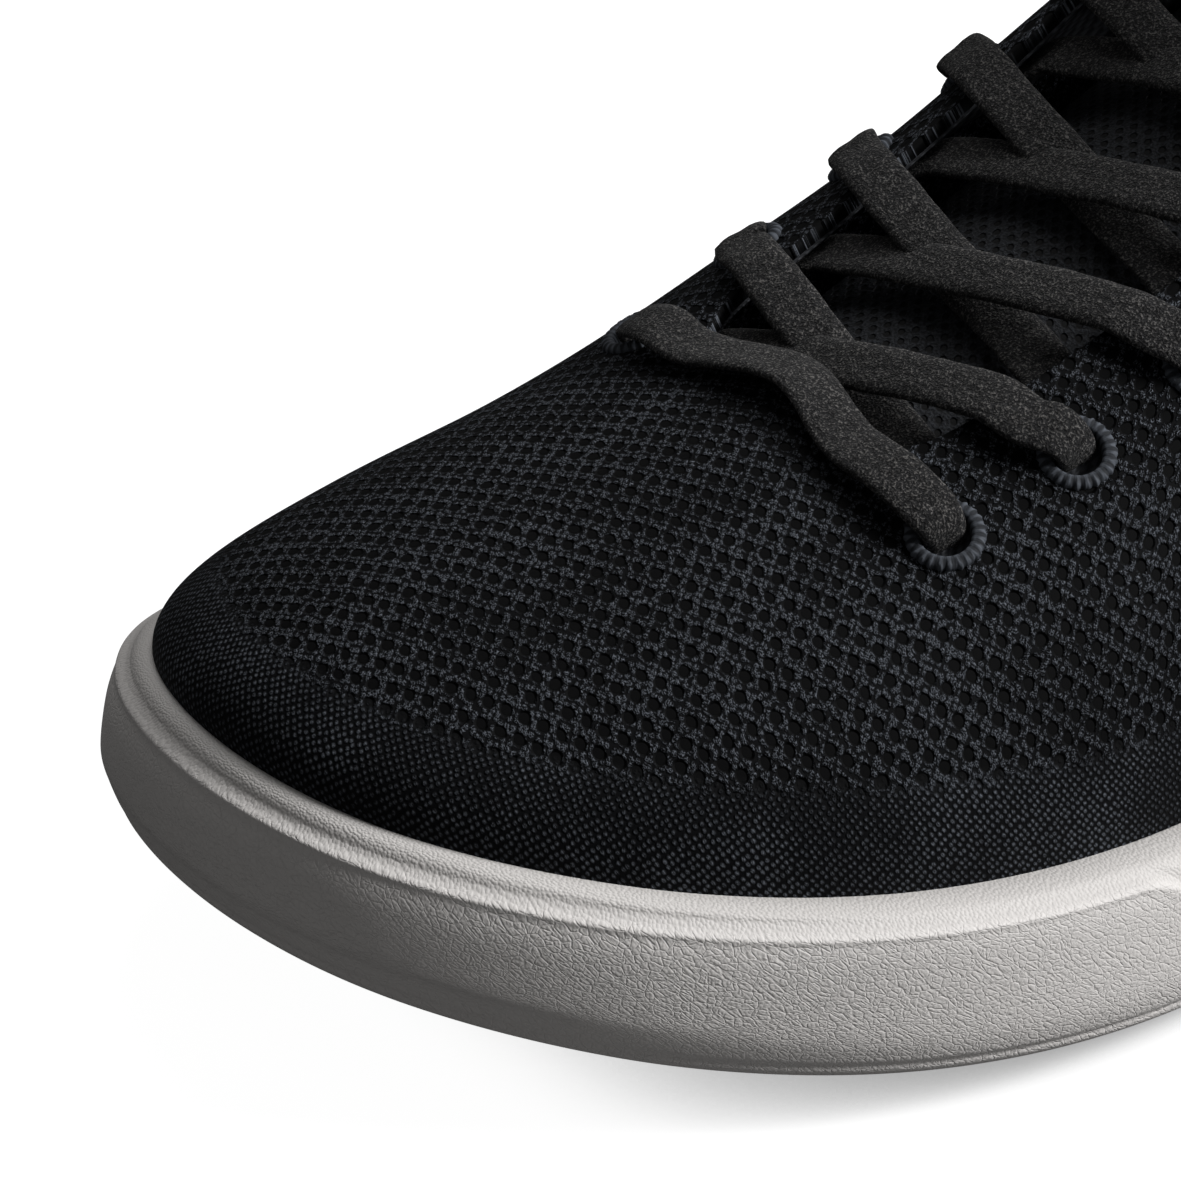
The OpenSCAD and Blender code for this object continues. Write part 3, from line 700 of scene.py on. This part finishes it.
def make_upper():
    ang = (np.arange(NA) + .5) * 360 / NA
    a = ang[:, None]
    v = np.linspace(0, 1, NV)[None, :]
    outer = surf(a, v)
    n = normal(a, v)
    ripple = (np.sin(outer[..., 1] / 7.3 + outer[..., 0] / 11) * .12
              + np.sin(outer[..., 0] / 5.1 - outer[..., 1] / 13) * .10)
    outer = outer + n * (ripple * step(.03, .2, v) * (1 - step(.9, 1, v)))[..., None]
    arc = np.concatenate([np.zeros((NA, 1)),
                          np.cumsum(np.linalg.norm(np.diff(outer, axis=1), axis=-1), axis=1)], 1)
    # lattice of the knit, spread flat outward from the throat edge
    top = outer[:, -1:, :2]
    out = unit(outer[:, :1, :2] - top)
    flat = top + out * (arc[:, -1:] - arc)[..., None]
    run = np.concatenate([[0], np.cumsum(np.linalg.norm(np.diff(outer[:, 0], axis=0), axis=-1))])
    u = share(ang)
    # the quarters behind the throat unroll along the collar instead
    for half, side in ((ang <= 180, 1), (ang > 180, -1)):
        ref = np.argmin(np.where(half, np.abs(u - .56), 9))
        back_y = outer[ref, 0, 1] + np.abs(run - run[ref]) * np.sign(.56 - u)
        back_x = side * (abs(top[ref, 0, 0]) + arc[ref, -1] - arc)
        quarter = np.stack([back_x, np.broadcast_to(back_y[:, None], arc.shape)], -1)
        w = step(.5, .64, u)[:, None, None]
        flat = np.where(half[:, None, None], quarter * (1 - w) + flat * w, flat)
    cells = flat @ np.linalg.inv(np.array([[2.0, .9], [1.5, -2.1]]))
    band = np.stack([np.broadcast_to(run[:, None], arc.shape), arc], -1)
    moved, inside = open_holes(outer, HOLE)
    # rounded folded edge at the top, then the inner face back down to the foot bed
    inner = moved - n * KNIT
    low = np.stack([inset(ang, table(RIM_IN, along(ang)) + g,
                          spring(along(ang)) + table(FLOOR, along(ang)) + .1)
                    for g in (.1, .1 + KNIT)], 1)
    rows = np.concatenate([low[:, :1], moved, inner[:, ::-1], low[:, 1:]], 1)
    m = rows.shape[1]
    uv = np.concatenate([cells[:, :1], cells, cells[:, ::-1], cells[:, :1]], 1)
    bd = np.concatenate([band[:, :1], band, band[:, ::-1], band[:, :1]], 1)
    cell_in = inside & np.roll(inside, -1, 0)
    cell_in = cell_in[:, :-1] & cell_in[:, 1:]
    faces = []
    for i in range(NA):
        q = (i + 1) % NA
        for j in range(m):
            k = (j + 1) % m
            row = j - 1 if j <= NV else 2 * NV - 1 - j
            if 0 <= row < NV - 1 and j != NV and cell_in[i, row]:
                continue
            faces.append((i * m + j, i * m + k, q * m + k, q * m + j))

    def ids(i, j):
        """Numbers of the outer and the inner vertex at a grid place."""
        return i % NA * m + 1 + j, i % NA * m + 2 * NV - j

    # walls of the holes join the outer and inner faces
    for i, j in zip(*np.nonzero(cell_in)):
        for di, dj, e0, e1 in ((-1, 0, (0, 0), (0, 1)), (1, 0, (1, 1), (1, 0)),
                               (0, -1, (1, 0), (0, 0)), (0, 1, (0, 1), (1, 1))):
            if not cell_in[(i + di) % NA, j + dj]:
                (o0, i0), (o1, i1) = ids(i + e0[0], j + e0[1]), ids(i + e1[0], j + e1[1])
                faces.append((o0, o1, i1, i0))
    ob = mesh_piece("knit_shell", rows.reshape(-1, 3), faces)
    outward(ob)
    add_uv(ob, "lattice", uv.reshape(-1, 2))
    add_uv(ob, "band", bd.reshape(-1, 2))
    finish_piece(ob, "shoe", KNIT_LOOK, "knit_upper", "knit_upper")
    return ob


def depth(a, v):
    """Depth of the lining's face below the outer face: deeper over the collar padding."""
    i = np.abs(((np.asarray(a) + 180) % 360 - 180) / 3.75)
    pad = np.interp(np.asarray(v) * 12, [6, 7, 8, 9, 11, 12], [0, .25, .7, 1, 1, .85])
    return 3.15 + 3.8 * np.clip((20.5 - i) / 5, 0, 1) * pad


def layer(name, a0, a1, v0, v1, near, far, mat, node, na=120, nv=30):
    """Closed patch of the upper between two depths, with rounded edges."""
    a = np.linspace(a0, a1, na)[:, None]
    v = np.linspace(v0, v1, nv)[None, :]
    p, n = surf(a, v), normal(a, v)
    d0 = np.broadcast_to(near(a, v), p.shape[:2])
    d1 = np.broadcast_to(far(a, v), p.shape[:2])
    ea = np.minimum(np.arange(na), np.arange(na)[::-1])[:, None]
    ev = np.minimum(np.arange(nv), np.arange(nv)[::-1])[None, :]
    soft = 1 - np.clip(1 - np.minimum(ea, ev) / 2.5, 0, 1) ** 2
    mid, half_t = (d0 + d1) / 2, (d1 - d0) / 2 * (.35 + .65 * soft)
    front = p - n * (mid - half_t)[..., None]
    rear = p - n * (mid + half_t)[..., None]
    rings = np.concatenate([front, rear[:, ::-1]], 1)
    m = rings.shape[1]
    faces = grid_faces(na, m, wrap_n=True) + caps(na, m)
    ob = outward(mesh_piece(name, rings.reshape(-1, 3), faces))
    run = np.broadcast_to(a * MM_PER_DEGREE, (na, nv))
    rise = np.broadcast_to(v * UPPER_RISE, (na, nv))
    uv = np.stack([run, rise], -1)
    add_uv(ob, "flat", np.concatenate([uv, uv[:, ::-1]], 1).reshape(-1, 2) / 1000)
    return finish_piece(ob, "shoe", mat, node, node)


def flat_at(value):
    """The same depth everywhere."""
    return lambda a, v: value


upper = make_upper()
collar = layer("collar_padding", -COLLAR_END, COLLAR_END, FLAP_FOOT, 1, flat_at(1.85),
               lambda a, v: depth(a, v) - .4, SOFT_FOAM, "collar_foam")
lining = layer("quarter_lining_cloth", -COLLAR_END, COLLAR_END, 0, 1, depth,
               lambda a, v: depth(a, v) + .8, LINING, "quarter_lining", 160, 60)
for side, a0, a1, wide in (("lateral", 80.6, 136.9, .018), ("medial", 223.1, 279.4, .015)):
    stay = layer("eyestay_tape_" + side, a0, a1, FLAP_FOOT, 1, flat_at(KNIT + .08),
                 flat_at(KNIT + .65), STAY, "eyestay_" + side, 90, 24)


def make_binding():
    """Rounded knit tape folded over the collar edge."""
    count = 240
    a = np.linspace(-76.9, 76.9, count)
    p, n = surf(a, np.ones(count)), normal(a, np.full(count, .985))
    rise = unit(p - surf(a, np.full(count, .96)))
    w = 1.7 + depth(a, 1.0) * np.clip((21.5 - np.abs(a / 3.75)) / 3, 0, 1)
    shape = spline([(-.5, 0), (-.45, .7), (-.25, 1.3), (.12, 1.9), (.3, 2.5), (.5, 2.7),
                    (.7, 2.5), (.88, 1.9), (1, 1), (1.04, 0)], 4)
    grid = np.stack([p - n * np.where(b <= 0, b, b * w)[:, None] + rise * h
                     for b, h in shape], 1)
    base = np.stack([p - n * w[:, None] * .96, p + n * .42], 1)
    grid = np.concatenate([grid, base], 1)
    m = grid.shape[1]
    faces = grid_faces(count, m, wrap_n=True)
    faces += [tuple(range(m))[::-1], tuple((count - 1) * m + k for k in range(m))]
    ob = outward(mesh_piece("collar_edge_binding", grid.reshape(-1, 3), faces))
    run = np.concatenate([[0], np.cumsum(np.linalg.norm(np.diff(p, axis=0), axis=1))])
    uv = np.stack([np.broadcast_to(run[:, None], (count, m)),
                   np.broadcast_to(np.arange(m)[None, :] * .4, (count, m))], -1)
    add_uv(ob, "flat", uv.reshape(-1, 2) / 1000)
    return finish_piece(ob, "shoe", BINDING, "collar_binding", "collar_binding")


make_binding()


def make_eyelets(side, name):
    """Satin-stitched rings: each thread crosses the ring from its hole to its outer edge."""
    turns, threads = 252, 84
    q = np.arange(turns) / turns * 2 * np.pi
    ridge = np.abs(np.sin(q * threads / 2))
    section = spline([(2.9, -2.0), (2.88, -.9), (2.92, .2), (3.15, .6), (3.6, .74), (4.1, .58),
                      (4.42, .2), (4.4, -.4), (4.25, -2.0)], 2)
    verts, faces, uvs = [], [], []
    for k in range(6):
        c, n, u, w = EYES[(side, k)]
        base = len(verts)
        rag = 1 + .018 * np.sin(q * 23 + k) + .012 * np.sin(q * 37 + 2 * k)
        for r, z in section:
            lift = .045 * ridge * (z > -.6)
            rr = r * (rag if r > 3.8 else 1) + (lift if r > 3.6 else -lift) * .6
            ring = (c + np.outer(np.cos(q) * rr, u) + np.outer(np.sin(q) * rr, w)
                    + np.outer(z + lift * .8, n))
            verts.extend(ring)
            uvs.extend(np.stack([q * 3.6, np.full(turns, r)], -1))
        faces += [tuple(base + x for x in f)
                  for f in grid_faces(len(section), turns, wrap_m=True, wrap_n=True)]
    ob = outward(mesh_piece("eyelet_stitching_" + name, verts, faces))
    add_uv(ob, "flat", np.array(uvs) / 1000)
    return finish_piece(ob, "shoe", SATIN, "eyelets_" + name, "eyelets_" + name)


make_eyelets(1, "lateral")
make_eyelets(-1, "medial")

# ----------------------------------------------------------------------------- tongue
# y, height, half width, crosswise curve
TONGUE = [(-80, 56, 17, .011), (-71, 57.2, 20, .012), (-63, 58.8, 21.5, .012),
          (-50, 63.2, 22.5, .0125), (-32, 70.3, 23, .0135), (-8, 81.2, 23.5, .017),
          (20, 96.4, 24, .018), (35, 105.6, 25.5, .016), (46, 112.8, 25.5, .015),
          (52, 116.8, 20, .015), (55, 119, 13, .015)]

ROWS, COLUMNS = 110, 48


def tongue_point(y, f, d):
    """Point at length y, share f of the half width, and depth d under the top face."""
    x = f * table(TONGUE, y, 2)
    return np.stack([x - 1, y + d * .5, table(TONGUE, y, 1) - table(TONGUE, y, 3) * x * x - d],
                    -1)


def tongue_layer(name, top, bottom, mat, node):
    """One layer between two depths, thinner along its sides and its top edge."""
    ys = np.linspace(TONGUE[0][0], TONGUE[-1][0], ROWS)
    fs = np.sin(np.linspace(-1, 1, COLUMNS) * np.pi / 2)
    y, f = np.meshgrid(ys, fs, indexing="ij")
    t, b = np.broadcast_to(top(y), y.shape), np.broadcast_to(bottom(y), y.shape)
    edge = 1 - np.clip((np.abs(f) - .93) / .07, 0, 1) ** 2 * .7
    edge = edge * (1 - np.clip((y - 53) / 2, 0, 1) ** 2 * .6)
    mid, h = (t + b) / 2, (b - t) / 2 * edge
    grid = np.concatenate([tongue_point(y, f, mid - h),
                           tongue_point(y, f, mid + h)[:, ::-1]], 1)
    m = grid.shape[1]
    faces = grid_faces(ROWS, m, wrap_n=True) + caps(ROWS, m)
    ob = outward(mesh_piece(name, grid.reshape(-1, 3), faces))
    uv = np.stack([grid[..., 0], grid[..., 1] * 1.12], -1)
    add_uv(ob, "flat", uv.reshape(-1, 2) / 1000)
    return finish_piece(ob, "tongue", mat, node, node)


def foam_t(y):
    """Thickness of the tongue padding at y."""
    return np.interp(y, [-60, -30, 43.5, 44.5], [1, 3, 3, 2.4])


tongue = tongue_layer("tongue_mesh_cloth", lambda y: 0 * y, lambda y: 1.5 + 0 * y,
                      TONGUE_MESH, "tongue_knit")
tongue_pad = tongue_layer("tongue_padding", lambda y: 1.7 + 0 * y,
                          lambda y: 1.7 + foam_t(y), SOFT_FOAM, "tongue_foam")
tongue_back = tongue_layer("tongue_lining_cloth", lambda y: 1.9 + foam_t(y),
                           lambda y: 2.7 + foam_t(y), LINING, "tongue_lining")

# ------------------------------------------------------------------------------ laces
# angle share of the throat edge at y
THROAT = [(-70.5, .8), (-68.5, .74), (-63, .7), (-50, .65), (-32, .6), (-8, .55), (20, .48),
          (29, .45)]


def throat_angle(side, y):
    u = float(table(THROAT, y))
    return 180 * u if side > 0 else 360 - 180 * u


def skin_at(a, v, h):
    return surf(a, v) + normal(a, min(v, .985)) * h


def throat(side, y, h):
    """A point h over the throat edge at y."""
    return skin_at(throat_angle(side, y), 1.0, h)


def flap(side, k, y, h):
    """A point on the flap half way between an eyelet and the throat edge, and its face."""
    a, v = (EYE_LAT if side > 0 else EYE_MED)[k]
    a, v = a * .5 + throat_angle(side, y) * .5, .5 + v * .5
    return skin_at(a, v, h), normal(a, v)


def lace_pass(side, k):
    """The lace over the flap, down through one eyelet and back under the flap."""
    c, n, _, _ = EYES[(side, k)]
    y = c[1]
    b = throat(side, y + 4.5, -4.2 if k > 2 else -3.7)
    if k == 0:
        a = surf(147.0 if side > 0 else 213.0, .97) + np.array([0, -1, 1.6])
        rows = [(a, (side * .2, -.2, 1), LW, LT), (c + (a - c) * .55 + n * 2.1, n, LW, LT)]
    else:
        a = throat(side, y - 4, 1.9)
        mid, mn = flap(side, k, y - 4, 2.2)
        rows = [(a, normal(throat_angle(side, y - 4), .985), LW, LT), (mid, mn, LW, LT)]
    d = unit(c - a - n * ((c - a) @ n))
    e = unit(c - b - n * ((c - b) @ n))
    under, un = flap(side, k, y + 4.5, -4.3 if k > 2 else -3.8)
    rows += [(c - d * 3.2 + n * 2.2, n, 6.4, LT), (c - d * .6 + n * 1.4, n + d * .6, 5.6, 1.6),
             (c - n * .6, d + e, 5.0, 1.8), (c - n * 2.3, d + e - n * .4, 4.8, 1.8),
             (c - e * 1.8 - n * 3.8, e * .5 - n, 5.0, 1.5), (under, -un, 6.2, LT),
             (b, -normal(throat_angle(side, y + 4.5), .985), LW, LT)]
    return rows


def lace_half(start):
    """Waypoints of one half of the lace, crossing at each row up to the knot."""
    rows = []
    for k in range(6):
        side, g = (start, 1) if k % 2 == 0 else (-start, -1)
        rows += [(p, np.asarray(f) * g, w, t) for p, f, w, t in lace_pass(side, k)]
        if k < 5:
            p = throat(side, EYES[(side, k)][0][1] + 4.5, -3.4)
            q = throat(-side, EYES[(-side, k + 1)][0][1] - 4, 1.7)
            n = np.array([0, -.45, .9])
            rows.append(((p + q) / 2 + n * (1.15 if side < 0 else -1.05), -n * g, LW, LT))
    s = -start
    rows += [((s * 15, 22, 100.6), (0, .3, -1), LW, LT), ((s * 3, 22.5, 103.4), (0, .3, -1), 5, 2)]
    return rows


def make_lace():
    """Both halves joined by the straight bar at the lowest eyelets."""
    h1, h2 = lace_half(1), lace_half(-1)
    mid = [((0, -71.8, 64.4), (0, -.2, 1), LW, LT)]

    def widths(rows):
        p = np.array([r[0] for r in rows], float)
        f = np.array([r[1] for r in rows], float)
        i = np.arange(len(p))
        t = unit(p[np.minimum(i + 1, len(p) - 1)] - p[np.maximum(i - 1, 0)])
        return unit(np.cross(f, t))[1:]

    w = np.concatenate([widths(mid + h1)[::-1], [[0, 1, 0]], -widths(mid + h2)])
    rows = h1[::-1] + mid + h2
    data = np.column_stack([[r[0] for r in rows], w, [r[2] for r in rows], [r[3] for r in rows]])
    data = resample(data, .8)
    wave = np.sin(np.arange(len(data)) * .31) * .12 + np.sin(np.arange(len(data)) * .83) * .06
    ob = strap("lace_threaded_strap", data[:, :3], data[:, 3:6], data[:, 6] + wave, data[:, 7],
               20, .7)
    return finish_piece(ob, "shoe", FELT, "lace_threaded", "lace_threaded")


def make_knot():
    """The band of the bow's knot, wrapped once round the crossing laces."""
    q = np.linspace(0, 2 * np.pi, 61)[:-1]
    band = np.stack([np.sin(q) * .6, 16.5 + np.cos(q) * 11.5,
                     105 + np.sin(q) * 3.7 + np.cos(q) * 1.2], -1)
    sides = 14
    c = np.arange(sides) / sides * 2 * np.pi
    t = unit(np.roll(band, -1, 0) - np.roll(band, 1, 0))
    across = np.array([1.0, 0, 0]) - t * t[:, :1]
    n = np.cross(t, across)
    pinch = 1 + .12 * np.sin(q * 2)
    grid = (band[:, None] + across[:, None] * (np.cos(c) * 3.4)[None, :, None]
            * pinch[:, None, None] + n[:, None] * (np.sin(c) * .95)[None, :, None])
    ob = outward(mesh_piece("lace_knot", grid.reshape(-1, 3),
                            grid_faces(60, sides, wrap_m=True, wrap_n=True)))
    return finish_piece(ob, "shoe", FELT, "lace_threaded")


make_lace()
make_knot()

# -------------------------------------------------------------------------- heel pull
LOOP = [(138.2, 89), (139.3, 94), (140.4, 100), (141.3, 106), (144, 110.6), (148.4, 111.4),
        (151.4, 107.5), (151, 101), (147.6, 95), (143, 91), (140.6, 89)]


def tape(name, path, width, thick, body, node):
    """Webbing along a path in the mid plane."""
    yz = resample(np.array([(0, y, z) for y, z in path], float), .6)
    ob = strap(name, yz, np.tile([1.0, 0, 0], (len(yz), 1)), width, thick, 20, .35)
    return finish_piece(ob, body, WEBBING, node, node)


webbing = tape("pull_loop_webbing", LOOP, 12, 1.3, "pull_loop", "heel_pull_tab")
tape("pull_loop_patch", [(138.9, 78.4), (139.6, 82), (139.6, 86), (139, 88.1)], 16, 2.6, "shoe",
     "heel_tab_patch")

# --------------------------------------------------------------- hidden and hard parts
for node, look in (("outsole_forefoot", RUBBER), ("outsole_heel", RUBBER),
                   ("strobel_board", BOARD), ("toe_puff", STIFFENER),
                   ("heel_counter", STIFFENER)):
    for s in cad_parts[node].material_slots:
        s.material = look

# ---------------------------------------------------------------------- floor and light
def floor_look():
    """White sweep: glows bright to the eye, with a painted contact shadow where something is close
    above it.
    """
    k = Look("studio_floor", 0.9)
    cloud = k.noise(k.place(), 3.0)
    # ambient occlusion dims the floor's glow near the shoe: a painted contact shadow in place of
    # cast shadow
    near = k.tree.nodes.new("ShaderNodeAmbientOcclusion")
    near.inputs["Distance"].default_value = 0.016
    glow_with_painted_shadow = Val(k, near.outputs["AO"]).ramp(0.0, 0.55, 0.3, 0.98)
    put(k.bsdf.inputs["Base Color"], k.blend(cloud, (.2, .2, .2), (.22, .22, .22)))
    put(k.bsdf.inputs["Emission Strength"], glow_with_painted_shadow)
    k.bsdf.inputs["Emission Color"].default_value = (1, 1, 1, 1)
    dim = k.tree.nodes.new("ShaderNodeBsdfPrincipled")
    dim.inputs["Base Color"].default_value = (.12, .12, .12, 1)
    seen_only(k.tree, dim.outputs[0], k.bsdf.outputs[0], k.tree.nodes["Material Output"])
    return k.mat


def seen_only(tree, unseen, seen, out):
    """What is seen directly is bright, and throws little light back on the shoe."""
    path = tree.nodes.new("ShaderNodeLightPath")
    mix = tree.nodes.new("ShaderNodeMixShader")
    tree.links.new(path.outputs["Is Camera Ray"], mix.inputs[0])
    tree.links.new(unseen, mix.inputs[1])
    tree.links.new(seen, mix.inputs[2])
    tree.links.new(mix.outputs[0], out.inputs[0])


bm = bmesh.new()
bmesh.ops.create_grid(bm, x_segments=8, y_segments=8, size=3.0)
floor_mesh = bpy.data.meshes.new("floor")
bm.to_mesh(floor_mesh)
bm.free()
floor = bpy.data.objects.new("floor", floor_mesh)
scene.collection.objects.link(floor)
floor_mesh.materials.append(floor_look())

world = bpy.data.worlds.new("studio")
world.use_nodes = True
soft = world.node_tree.nodes["Background"]
soft.inputs[0].default_value = (1, 1, 1, 1)
soft.inputs[1].default_value = 0.10
wall = world.node_tree.nodes.new("ShaderNodeBackground")
wall.inputs[0].default_value = (1, 1, 1, 1)
seen_only(world.node_tree, soft.outputs[0], wall.outputs[0], world.node_tree.nodes["World Output"])
scene.world = world
scene.view_settings.view_transform = "Standard"


def area_light(name, place, watts, size):
    """Soft square light aimed at the camera's target."""
    data = bpy.data.lights.new(name, "AREA")
    data.energy, data.size = watts, size
    ob = bpy.data.objects.new(name, data)
    ob.location = place
    ob.rotation_euler = (TARGET - Vector(place)).to_track_quat("-Z", "Y").to_euler()
    scene.collection.objects.link(ob)


area_light("key", (1.05, 0.98, 1.12), 39, 0.6)
area_light("top", (-0.5, 0.5, 1.5), 9, 0.9)
